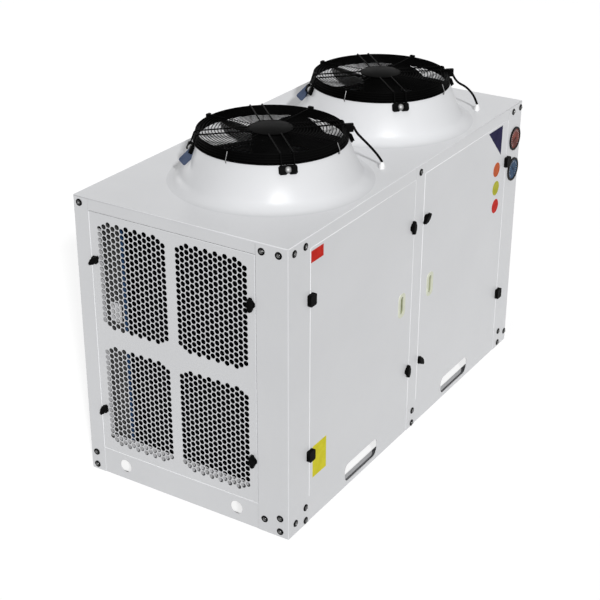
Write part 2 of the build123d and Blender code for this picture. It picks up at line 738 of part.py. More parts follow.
# Pressure gauges: round cases through the post, each with a rimmed face on the sheet.
gauge_places = ((gauge_x, GAUGE_UPPER_Z), (gauge_x, GAUGE_LOWER_Z))
with BuildPart() as gauges:
    with BuildSketch(Plane.XZ.offset(half_width)):
        with Locations(*gauge_places):
            Circle(GAUGE_R)
    extrude(amount=GAUGE_PROUD)
    with BuildSketch(Plane.XZ.offset(half_width)):
        with Locations(*gauge_places):
            Circle(GAUGE_CASE_R)
    extrude(amount=-GAUGE_CASE_DEPTH)
    with BuildSketch(Plane.XZ.offset(half_width + GAUGE_PROUD)):
        with Locations(*gauge_places):
            Circle(GAUGE_R - GAUGE_RIM)
    extrude(amount=-GAUGE_RECESS, mode=Mode.SUBTRACT)
save(gauges.part, "pressure_gauges")

# Cable glands on the top panel, and the fan cables that drop into them from the guards.
gland_top_z = HEIGHT + GLAND_HEIGHT
routes = {
    "left": [
        (211, -250, 1430),
        (221, -257, 1405),
        (240, -269, 1380),
        (272, -290, 1340),
        (298, -308, 1303),
        (312, -317, 1280),
        (GLAND_X, GLAND_Y, gland_top_z),
    ],
    "right": [
        (204, -245, 1430),
        (215, -252, 1402),
        (236, -266, 1374),
        (265, -286, 1355),
        (293, -304, 1324),
        (312, -317, 1290),
        (GLAND_X, GLAND_Y, gland_top_z),
    ],
}


with BuildPart() as cable_glands:
    for centre_x in (-FAN_X, FAN_X):
        with BuildSketch(Plane.XY.offset(HEIGHT)):
            with Locations((centre_x + GLAND_X, FAN_Y + GLAND_Y)):
                RegularPolygon(GLAND_R, 6)
        extrude(amount=GLAND_HEX)
        with Locations((centre_x + GLAND_X, FAN_Y + GLAND_Y, gland_top_z)):
            Cone(
                GLAND_DOME_R,
                GLAND_MOUTH_R,
                GLAND_HEIGHT - GLAND_HEX,
                align=(Align.CENTER, Align.CENTER, Align.MAX),
            )
save(cable_glands.part, "cable_glands")


def fan_cable(centre_x, route):
    points = [Vector(centre_x + x, FAN_Y + y, z) for x, y, z in route]
    runs = [after - before for before, after in zip(points, points[1:])]
    radii = []
    for before, after in zip(runs, runs[1:]):
        half_turn = radians(before.get_angle(after)) / 2
        radii.append(CABLE_BEND_SHARE * min(before.length, after.length) / tan(half_turn))
    with BuildPart() as cable:
        with BuildLine() as path:
            FilletPolyline(*points, radius=radii)
        with BuildSketch(Plane(points[0], z_dir=runs[0])) as section:
            RegularPolygon(CABLE_R, CABLE_SIDES)
        sweep()
    length = sum(edge.length for edge in path.edges())
    print("cable radii", [round(radius) for radius in radii], "length", round(length))
    print("cable volume over section times length", cable.part.volume / (length * section.sketch.area))
    return cable.part


for name, centre_x in (("left", -FAN_X), ("right", FAN_X)):
    save(fan_cable(centre_x, routes[name]), f"fan_cable_{name}")
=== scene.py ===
"""Looks of the monoblock condensing unit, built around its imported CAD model. Metres."""

from math import atan2, cos, pi, radians, sin, sqrt, tan

import bmesh
import bpy
from mathutils import Matrix, Vector

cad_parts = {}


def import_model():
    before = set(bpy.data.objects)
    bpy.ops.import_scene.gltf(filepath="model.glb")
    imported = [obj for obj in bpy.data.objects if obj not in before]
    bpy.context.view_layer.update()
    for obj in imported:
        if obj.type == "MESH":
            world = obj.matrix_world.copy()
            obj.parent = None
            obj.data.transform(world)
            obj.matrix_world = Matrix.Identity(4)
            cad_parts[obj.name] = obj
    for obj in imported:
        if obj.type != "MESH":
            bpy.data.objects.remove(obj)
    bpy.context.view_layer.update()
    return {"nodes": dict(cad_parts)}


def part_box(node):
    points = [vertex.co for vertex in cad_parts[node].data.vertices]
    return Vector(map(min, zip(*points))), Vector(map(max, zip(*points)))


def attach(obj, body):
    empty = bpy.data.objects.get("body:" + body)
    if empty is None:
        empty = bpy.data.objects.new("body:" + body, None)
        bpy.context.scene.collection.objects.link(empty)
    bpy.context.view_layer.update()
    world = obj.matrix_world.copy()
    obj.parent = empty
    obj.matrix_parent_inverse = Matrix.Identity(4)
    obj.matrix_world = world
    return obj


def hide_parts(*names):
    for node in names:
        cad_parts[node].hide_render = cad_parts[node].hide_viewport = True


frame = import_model()

MM = 0.001
X_AXIS, Y_AXIS, Z_AXIS = Vector((1, 0, 0)), Vector((0, 1, 0)), Vector((0, 0, 1))

# Places that the frame gives
top_low, top_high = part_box("top_panel")
half_length, half_width, top_z = top_high.x, top_high.y, top_high.z
rail_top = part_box("door_front_left")[0].z
panel_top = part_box("door_front_left")[1].z
fans = {}
for side in ("left", "right"):
    low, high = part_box(f"fan_cowl_{side}")
    fans[side] = Vector(((low.x + high.x) / 2, (low.y + high.y) / 2, 0))
cowl_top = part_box("fan_cowl_left")[1].z
guard_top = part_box("fan_guard_left")[1].z
cowl_foot_r = (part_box("fan_cowl_left")[1].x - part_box("fan_cowl_left")[0].x) / 2

# Cowl and guard
COWL_TOP_R = 304 * MM
COWL_SLOPE = radians(66.7)
COWL_FOOT_ROUND = 60 * MM
COWL_SHEET = 2 * MM
THROAT_R = 286 * MM
THROAT_DEPTH = 105 * MM
GUARD_TOP_R = 293 * MM
GUARD_DISC_R = 88 * MM
RING_PITCH = 12.4 * MM
RING_WIRE = 1.6 * MM
SIDE_WIRE = 1.7 * MM
SINGLE_WIRE = 1.6 * MM
SIDE_RINGS = 5
BAND_R = 290.5 * MM
BAND_SHEET = 2 * MM
STRUT_R = 3 * MM
STRUT_SPREAD = 50 * MM
LUG_WIDTH = 72 * MM
LUG_HEIGHT = 36 * MM
LUG_SHEET = 7 * MM
LUG_DROP = 17 * MM
LUG_CORNER = 6 * MM
LUG_NOTCH = 16 * MM
LUG_BOLT_R = 13 * MM
EAR_WIDTH = 18 * MM
EAR_HEIGHT = 8 * MM
LUG_TURNS = (45, 135, 225, 315)
SINGLE_TURNS = (0, 90, 180, 270)
TIE_TURNS = (180, 270)
TIE_R = 1.3 * MM
TIE_ASIDE = 3 * MM
KNOB_TURNS = (0, 90)
KNOB_WIDTH = 24 * MM
KNOB_DEPTH = 14 * MM
KNOB_HEIGHT = 15 * MM
CLIP_TURN = 315
CLIP_ASIDE = 28 * MM
CLIP_REACH = 30 * MM
CLIP_WIDTH = 16 * MM
CLIP_HEIGHT = 34 * MM

# Perforation
HOLE_R = 11.1 * MM
HOLE_SIDES = 16
PERFORATED_SHEET = 1.2 * MM
HOLE_PITCH = 24.45 * MM
COLUMN_PITCH = 21.6 * MM
FIELD_COLUMNS = 15
FIELD_Y = (218.0 * MM, -151.5 * MM)
FIELD_Z = (923.0 * MM, 386.5 * MM)

# Behind the perforation: the film beside the coil, then a sheet, and the post's inner flange
COIL_EDGE = 16 * MM
SHEET_Y = 307 * MM
FLANGE_DEPTH = 25 * MM
FLANGE_Y = (383 * MM, 418 * MM)
FLANGE_Z = (170 * MM, 1105 * MM)
BRACKET_Y = (306 * MM, 362 * MM)
BRACKET_Z = (716 * MM, 800 * MM)
PAN_LIP_Y = (-392 * MM, 381 * MM)
PAN_LIP_Z = (122 * MM, 180 * MM)
FLANGE_SHEET = 2 * MM


# Geometry helpers
class Shape:
    """The points and faces of one piece, gathered before its mesh is made."""

    def __init__(self):
        self.points = []
        self.faces = []
        self.slots = []

    def add(self, points, faces, slot=0):
        first = len(self.points)
        self.points += [Vector(point) for point in points]
        self.faces += [[first + index for index in face] for face in faces]
        self.slots += [slot] * len(faces)

    def lathe(self, profile, place=None, steps=32, slot=0):
        """Turns (radius, height) points about the local Z axis."""
        place = place or Matrix()
        count = len(profile)
        turns = [2 * pi * step / steps for step in range(steps)]
        points = [place @ Vector((r * cos(t), r * sin(t), h)) for t in turns for r, h in profile]
        faces = []
        for step in range(steps):
            here, there = step * count, (step + 1) % steps * count
            faces += [[here + k, there + k, there + k + 1, here + k + 1] for k in range(count - 1)]
        self.add(points, faces, slot)

    def tube(self, path, radius, sides=8, closed=False, slot=0, across=None):
        path = [Vector(point) for point in path]
        count = len(path)
        points = []
        for index, point in enumerate(path):
            before = path[index - 1] if index or closed else point
            after = path[(index + 1) % count] if index + 1 < count or closed else point
            along = (after - before).normalized()
            if across is None:
                across = Z_AXIS if abs(along.z) < 0.9 else X_AXIS
            across = (across - along * across.dot(along)).normalized()
            other = along.cross(across)
            turns = [2 * pi * side / sides for side in range(sides)]
            points += [point + (across * cos(t) + other * sin(t)) * radius for t in turns]
        faces = []
        for index in range(count if closed else count - 1):
            here, there = index * sides, (index + 1) % count * sides
            for side in range(sides):
                beside = (side + 1) % sides
                faces.append([here + side, here + beside, there + beside, there + side])
        if not closed:
            faces.append(list(reversed(range(sides))))
            faces.append([(count - 1) * sides + side for side in range(sides)])
        self.add(points, faces, slot)

    def ring(self, centre, radius, wire, steps=96, slot=0):
        turns = [2 * pi * step / steps for step in range(steps)]
        path = [centre + Vector((cos(t), sin(t), 0)) * radius for t in turns]
        self.tube(path, wire, sides=6, closed=True, slot=slot)

    def prism(self, outline, depth, place=None, slot=0):
        """A flat outline in the local XY plane, given thickness along local Z."""
        place = place or Matrix()
        count = len(outline)
        points = [place @ Vector((x, y, z)) for z in (0, depth) for x, y in outline]
        faces = [list(reversed(range(count))), [count + index for index in range(count)]]
        for index in range(count):
            beside = (index + 1) % count
            faces.append([index, beside, count + beside, count + index])
        self.add(points, faces, slot)

    def build(self, name, materials, body="cabinet", smooth=35, bevel=None):
        mesh = bpy.data.meshes.new(name)
        work = bmesh.new()
        made = [work.verts.new(point) for point in self.points]
        for face, slot in zip(self.faces, self.slots):
            work.faces.new([made[index] for index in face]).material_index = slot
        bmesh.ops.remove_doubles(work, verts=work.verts, dist=1e-6)
        bmesh.ops.recalc_face_normals(work, faces=work.faces)
        work.to_mesh(mesh)
        work.free()
        return piece(name, mesh, materials, body, smooth, bevel)


def piece(name, mesh, materials, body="cabinet", smooth=35, bevel=None):
    """Makes one named object of a mesh, smooth up to an angle, riding on a body."""
    made = bpy.data.objects.new(name, mesh)
    bpy.context.scene.collection.objects.link(made)
    for material in materials:
        mesh.materials.append(material)
    mesh.polygons.foreach_set("use_smooth", [True] * len(mesh.polygons))
    mesh.set_sharp_from_angle(angle=radians(smooth))
    if bevel:
        rounding = made.modifiers.new("edge_round", "BEVEL")
        rounding.width = bevel
        rounding.segments = 2
        rounding.limit_method = "ANGLE"
        rounding.angle_limit = radians(40)
        rounding.harden_normals = True
    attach(made, body)
    return made


def facing(point, normal, up=Z_AXIS):
    """A frame at a point whose local Z is the normal and whose local Y is nearest to up."""
    normal = Vector(normal).normalized()
    side = up.cross(normal).normalized()
    across = normal.cross(side)
    frame_rows = Matrix((side, across, normal)).transposed().to_4x4()
    frame_rows.translation = Vector(point)
    return frame_rows


def rounded_rectangle(width, height, radius, steps=4):
    outline = []
    for corner, (sx, sy) in enumerate(((1, 1), (-1, 1), (-1, -1), (1, -1))):
        for step in range(steps + 1):
            turn = pi / 2 * (corner + step / steps)
            x = sx * (width / 2 - radius) + radius * cos(turn)
            y = sy * (height / 2 - radius) + radius * sin(turn)
            outline.append((x, y))
    return outline


def eased(path, cut, closed=False):
    """A path whose corners are cut off by a short step."""
    points = [Vector(point) for point in path]
    made = []
    for index, point in enumerate(points):
        if not closed and index in (0, len(points) - 1):
            made.append(point)
            continue
        before = (points[index - 1] - point).normalized()
        after = (points[(index + 1) % len(points)] - point).normalized()
        made += [point + before * cut, point + after * cut]
    return made


def circle(radius, steps, centre=(0, 0), start=0.0):
    turns = [start + 2 * pi * step / steps for step in range(steps)]
    return [(centre[0] + radius * cos(turn), centre[1] + radius * sin(turn)) for turn in turns]


# Materials
class Finish:
    """One procedural material, made node by node."""

    def __init__(self, name):
        self.material = bpy.data.materials.new(name)
        self.material.use_nodes = True
        self.tree = self.material.node_tree
        self.shader = self.tree.nodes["Principled BSDF"]
        self.place = self.node("TexCoord").outputs["Object"]

    def node(self, kind, inputs=None, **settings):
        made = self.tree.nodes.new(f"ShaderNode{kind}")
        for key, value in settings.items():
            setattr(made, key, value)
        for key, value in (inputs or {}).items():
            self.feed(made.inputs[key], value)
        return made

    def feed(self, socket, value):
        if isinstance(value, bpy.types.NodeSocket):
            self.tree.links.new(value, socket)
        else:
            socket.default_value = value

    def noise(self, scale, detail=3.0, roughness=0.5):
        inputs = {"Vector": self.place, "Scale": scale, "Detail": detail, "Roughness": roughness}
        return self.node("TexNoise", inputs).outputs["Fac"]

    def between(self, factor, low, high):
        """A colour between two tones, by a factor socket."""
        mix = self.node("Mix", data_type="RGBA")
        self.feed(mix.inputs["Factor"], factor)
        self.feed(mix.inputs[6], low)
        self.feed(mix.inputs[7], high)
        return mix.outputs[2]

    def span(self, value, low, high, to_low=0.0, to_high=1.0):
        inputs = {
            "Value": value,
            "From Min": low,
            "From Max": high,
            "To Min": to_low,
            "To Max": to_high,
        }
        return self.node("MapRange", inputs).outputs["Result"]

    def bump(self, height, depth, strength=1.0):
        inputs = {"Height": height, "Distance": depth, "Strength": strength}
        self.feed(self.shader.inputs["Normal"], self.node("Bump", inputs).outputs["Normal"])

    def set(self, **values):
        names = {
            "colour": "Base Color",
            "roughness": "Roughness",
            "metallic": "Metallic",
            "coat": "Coat Weight",
            "coat_roughness": "Coat Roughness",
            "specular": "Specular IOR Level",
        }
        for key, value in values.items():
            self.feed(self.shader.inputs[names[key]], value)
        return self


def grey(level, tint=(0.0, 0.0, 0.0)):
    return (level + tint[0], level + tint[1], level + tint[2], 1.0)


def powder_coat(name, low, high, rough, grain=520.0, depth=0.00003, specular=0.3):
    """Sprayed and baked paint: faint cloudiness, orange peel and a satin gloss."""
    made = Finish(name).set(specular=specular)
    clouds = made.span(made.noise(2.6, 4.0), 0.35, 0.65)
    made.set(colour=made.between(clouds, low, high))
    made.set(roughness=made.span(made.noise(11.0, 3.0), 0.3, 0.7, rough - 0.05, rough + 0.06))
    made.bump(made.noise(grain, 2.0), depth, 0.25)
    return made.material


def moulded(name, low, high, rough, grain=900.0, depth=0.00008):
    made = Finish(name)
    made.set(colour=made.between(made.span(made.noise(38.0), 0.35, 0.65), low, high))
    made.set(roughness=made.span(made.noise(60.0), 0.3, 0.7, rough - 0.06, rough + 0.08))
    made.bump(made.noise(grain, 2.0), depth, 0.6)
    return made.material


def handle_plastic():
    """Cream plastic, with painted shade inside the mouth: dark olive where the recess lies back from the door's
    face.
    """
    made = Finish("handle_cream_plastic")
    across = made.node("SeparateXYZ", {"Vector": made.place}).outputs["Y"]
    away = made.node("Math", {0: across}, operation="ABSOLUTE").outputs[0]
    # Painted shade: the mouth is darkened by its depth behind the door's face.
    rim = made.span(away, half_width - 4 * MM, half_width - 0.5 * MM)
    clouds = made.span(made.noise(38.0), 0.35, 0.65)
    plate = made.between(clouds, (0.66, 0.68, 0.55, 1), (0.72, 0.74, 0.6, 1))
    mouth_painted_shade = made.between(clouds, (0.26, 0.28, 0.17, 1), (0.32, 0.34, 0.22, 1))
    made.set(colour=made.between(rim, mouth_painted_shade, plate), specular=0.2)
    made.set(roughness=made.span(made.noise(60.0), 0.3, 0.7, 0.36, 0.5))
    made.bump(made.noise(900.0, 2.0), 0.00008, 0.4)
    return made.material


def plated(name, low, high, rough):
    """Zinc or chrome plate with slight brushing."""
    made = Finish(name)
    made.set(colour=made.between(made.noise(70.0, 4.0), low, high), metallic=1.0)
    made.set(roughness=made.span(made.noise(240.0, 3.0), 0.3, 0.7, rough - 0.06, rough + 0.1))
    made.bump(made.noise(1500.0, 2.0), 0.00003, 0.4)
    return made.material


def dark(material, specular=0.12):
    """Black goods in a shaded room mirror little of it."""
    shader = material.node_tree.nodes["Principled BSDF"]
    shader.inputs["Specular IOR Level"].default_value = specular
    return material


def glazed(name, low, high):
    """A printed dial behind its glass."""
    made = Finish(name)
    made.set(colour=made.between(made.span(made.noise(30.0), 0.35, 0.65), low, high))
    made.set(roughness=made.span(made.noise(50.0), 0.3, 0.7, 0.4, 0.5), specular=0.02)
    made.set(coat=0.12, coat_roughness=0.05)
    made.bump(made.noise(60.0, 1.0), 0.0001, 0.15)
    return made.material


def coil_finish(split_y):
    """Near-black fins in vertical lines, a painted shade of the cabinet's dark inside; the sheet beside the
    coil is near-black as well, painted shade.
    """
    made = Finish("coil_fins_painted_shade")
    across = made.node("SeparateXYZ", {"Vector": made.place}).outputs["Y"]
    lines = made.node(
        "TexWave",
        {"Vector": made.place, "Scale": 140.0, "Distortion": 0.4, "Detail": 1.0},
        bands_direction="Y",
    ).outputs["Fac"]
    # Painted shade: the fins and the sheet are kept near-black to stand for the shade inside the cabinet behind
    # the holes; the blue film is the strip's own colour.
    fins_painted_shade = made.between(lines, grey(0.001), grey(0.005, (0, 0, 0.002)))
    sheet = made.between(made.noise(14.0), grey(0.03), grey(0.09))
    film = made.between(made.noise(9.0), (0.006, 0.012, 0.045, 1), (0.035, 0.09, 0.19, 1))
    beyond = made.node("Math", {0: across, 1: split_y}, operation="GREATER_THAN").outputs[0]
    edge = made.node("Math", {0: across, 1: split_y - COIL_EDGE}, operation="GREATER_THAN").outputs[0]
    made.set(colour=made.between(beyond, made.between(edge, fins_painted_shade, film), sheet), roughness=0.55)
    made.set(specular=0.005)
    made.bump(lines, 0.0008, 0.5)
    return made.material


COOL = (0.0, 0.006, 0.02)
cabinet_white = powder_coat("cabinet_white_coat", grey(0.67, COOL), grey(0.69, COOL), 0.34)
# Painted highlight: the rolled folds get a lighter copy of the cabinet's white, so they read as bright lines.
fold_painted_highlight = powder_coat("fold_painted_highlight_coat", grey(0.76, COOL), grey(0.78, COOL), 0.3)
# Painted shade: the cowls get a darker copy of the cabinet's white, which tones them down where the key light
# falls full on their slope.
cowl_white_painted_shade = powder_coat("cowl_white_gloss", grey(0.61, COOL), grey(0.63, COOL), 0.38, 300.0, 0.00001)
# Painted light: the throat is the same white sheet, made much lighter so the inside of the cowl shows bright
# through the guard.
throat_white_painted_light = powder_coat("throat_white_gloss", grey(0.82, COOL), grey(0.85), 0.4, 300.0, 0.00001)
handle_cream = handle_plastic()
fastener_black = dark(moulded("fastener_black_plastic", grey(0.002), grey(0.005), 0.4), 0.015)
guard_black = dark(powder_coat("guard_black_coat", grey(0.001), grey(0.003), 0.4, 900.0, 0.00004), 0.012)
lug_black = dark(moulded("lug_black_coat", grey(0.001), grey(0.003), 0.45), 0.015)
fan_black = dark(powder_coat("fan_black_paint", grey(0.001), grey(0.003), 0.4, 700.0, 0.00006), 0.008)
gland_white = moulded("gland_white_nylon", grey(0.74), grey(0.8), 0.35)
cable_black = dark(moulded("cable_black_rubber", grey(0.002), grey(0.005), 0.5, 1800.0, 0.00005), 0.03)
bolt_chrome = plated("bolt_chrome_plate", grey(0.09), grey(0.18), 0.14)
bolt_zinc = plated("bolt_zinc_plate", grey(0.22), grey(0.3), 0.5)
bolt_ring_black = dark(moulded("bolt_ring_black_plastic", grey(0.002), grey(0.005), 0.45), 0.02)
gauge_rim = dark(moulded("gauge_rim_black", grey(0.004), grey(0.008), 0.25), 0.03)
gauge_red = glazed("gauge_dial_red", (0.1, 0.025, 0.02, 1), (0.22, 0.055, 0.04, 1))
gauge_blue = glazed("gauge_dial_blue", (0.015, 0.04, 0.08, 1), (0.035, 0.08, 0.155, 1))
gauge_marks = moulded("gauge_marks_white", grey(0.62), grey(0.7), 0.4)
plate_red = dark(moulded("plate_red_print", (0.5, 0.02, 0.015, 1), (0.58, 0.03, 0.02, 1), 0.35), 0.02)
plate_yellow = dark(moulded("plate_yellow_print", (0.64, 0.58, 0.03, 1), (0.7, 0.64, 0.04, 1), 0.35), 0.02)
plate_navy = dark(moulded("plate_navy_print", (0.008, 0.006, 0.04, 1), (0.014, 0.01, 0.06, 1), 0.35), 0.02)
plate_orange = dark(moulded("plate_orange_print", (0.48, 0.09, 0.03, 1), (0.55, 0.12, 0.04, 1), 0.35), 0.02)
plate_lime = dark(moulded("plate_lime_print", (0.4, 0.4, 0.03, 1), (0.48, 0.47, 0.05, 1), 0.35), 0.02)
tag_blue = dark(moulded("tag_blue_card", (0.045, 0.06, 0.1, 1), (0.06, 0.078, 0.125, 1), 0.5), 0.02)
coil_dark = coil_finish(SHEET_Y)
inner_zinc = moulded("inner_zinc_coat", grey(0.42), grey(0.56, (0, 0, 0.02)), 0.5)


# Carried-over CAD nodes
def dress(material, *nodes):
    for node_name in nodes:
        slots = frame["nodes"][node_name].data.materials
        slots.clear()
        slots.append(material)


cabinet_nodes = [
    name
    for name in frame["nodes"]
    if name.startswith(("base_rail", "floor_pan", "corner_post", "mid_post", "top_panel", "door_"))
]
dress(cabinet_white, *cabinet_nodes)
dress(cowl_white_painted_shade, "fan_cowl_left", "fan_cowl_right")
dress(handle_cream, "pull_handles_front", "pull_handles_back")
dress(fastener_black, *[name for name in frame["nodes"] if name.startswith("fasteners_")])
dress(coil_dark, "coil_left", "coil_right")
dress(fan_black, "fan_rotor_left", "fan_rotor_right", "fan_motors")
dress(gauge_rim, "pressure_gauges")
dress(gland_white, "cable_glands")


# Fan cables: the route's points, from each fan's axis, as in the part's source
CABLE_R = 5 * MM
CABLES = {
    "left": (
        0.214,
        [
            (211, -250, 1430),
            (221, -257, 1405),
            (240, -269, 1380),
            (272, -290, 1340),
            (298, -308, 1303),
            (312, -317, 1280),
            (321, -323, 1263),
        ],
    ),
    "right": (
        0.223,
        [
            (204, -245, 1430),
            (215, -252, 1402),
            (236, -266, 1374),
            (265, -286, 1355),
            (293, -304, 1324),
            (312, -317, 1290),
            (321, -323, 1263),
        ],
    ),
}


def fan_cable(side):
    length, route = CABLES[side]
    points = [fans[side] + Vector(point) * MM for point in route]
    curve = bpy.data.curves.new(f"fan_cable_{side}_cord", "CURVE")
    curve.dimensions = "3D"
    curve.bevel_depth = CABLE_R
    curve.bevel_resolution = 4
    curve.resolution_u = 16
    curve.use_fill_caps = True
    spline = curve.splines.new("NURBS")
    spline.points.add(len(points) - 1)
    for spline_point, point in zip(spline.points, points):
        spline_point.co = (*point, 1.0)
    spline.order_u = 3
    spline.use_endpoint_u = True
    curve.materials.append(cable_black)
    made = bpy.data.objects.new(f"fan_cable_{side}_cord", curve)
    bpy.context.scene.collection.objects.link(made)
    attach(made, "cabinet")
    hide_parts(f"fan_cable_{side}")


for side in fans:
    fan_cable(side)


# Fan cowls: one smooth turned sheet
def cowl_profiles():
    """The outer skin and the throat, as two runs of one closed profile."""
    foot_centre = (cowl_foot_r, top_z + COWL_FOOT_ROUND)
    steps = 10
    turns = [COWL_SLOPE * step / steps for step in range(steps + 1)]

    def foot(radius):
        return [(foot_centre[0] - radius * sin(t), foot_centre[1] - radius * cos(t)) for t in turns]

    lip = cowl_top - COWL_SHEET
    inner = foot(COWL_FOOT_ROUND + COWL_SHEET)
    inner_top_r = inner[-1][0] - (lip - inner[-1][1]) / tan(COWL_SLOPE)
    edge = 1.2 * MM
    outer = [
        *foot(COWL_FOOT_ROUND),
        (COWL_TOP_R + edge * cos(COWL_SLOPE), cowl_top - edge * sin(COWL_SLOPE)),
        (COWL_TOP_R - edge, cowl_top),
        (THROAT_R + edge, cowl_top),
    ]
    throat = [
        outer[-1],
        (THROAT_R, cowl_top - edge),
        (THROAT_R, cowl_top - THROAT_DEPTH),
        (THROAT_R + COWL_SHEET, cowl_top - THROAT_DEPTH),
        (THROAT_R + COWL_SHEET, lip),
        (inner_top_r, lip),
        *reversed(inner),
        outer[0],
    ]
    return outer, throat


for side, centre in fans.items():
    cowl = Shape()
    for slot, profile in enumerate(cowl_profiles()):
        cowl.lathe(profile, Matrix.Translation(centre), steps=144, slot=slot)
    turned = cowl.build(f"fan_cowl_{side}_spun", [cowl_white_painted_shade, throat_white_painted_light], smooth=50)
    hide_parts(f"fan_cowl_{side}")


# Fan guards
def around(centre, turn, radius, height, aside=0.0):
    out = Vector((cos(turn), sin(turn), 0))
    along = Vector((-out.y, out.x, 0))
    return centre + out * radius + along * aside + Z_AXIS * height


def lug_outline():
    """A lug's face: corners cut off, and a notch in the lower edge."""
    half_w, half_h, cut, notch = LUG_WIDTH / 2, LUG_HEIGHT / 2, LUG_CORNER, LUG_NOTCH / 2
    return [
        (half_w - cut, half_h),
        (-half_w + cut, half_h),
        (-half_w, half_h - cut),
        (-half_w, -half_h + cut),
        (-half_w + cut, -half_h),
        (-notch, -half_h),
        (0, -half_h + notch),
        (notch, -half_h),
        (half_w - cut, -half_h),
        (half_w, -half_h + cut),
        (half_w, half_h - cut),
    ]


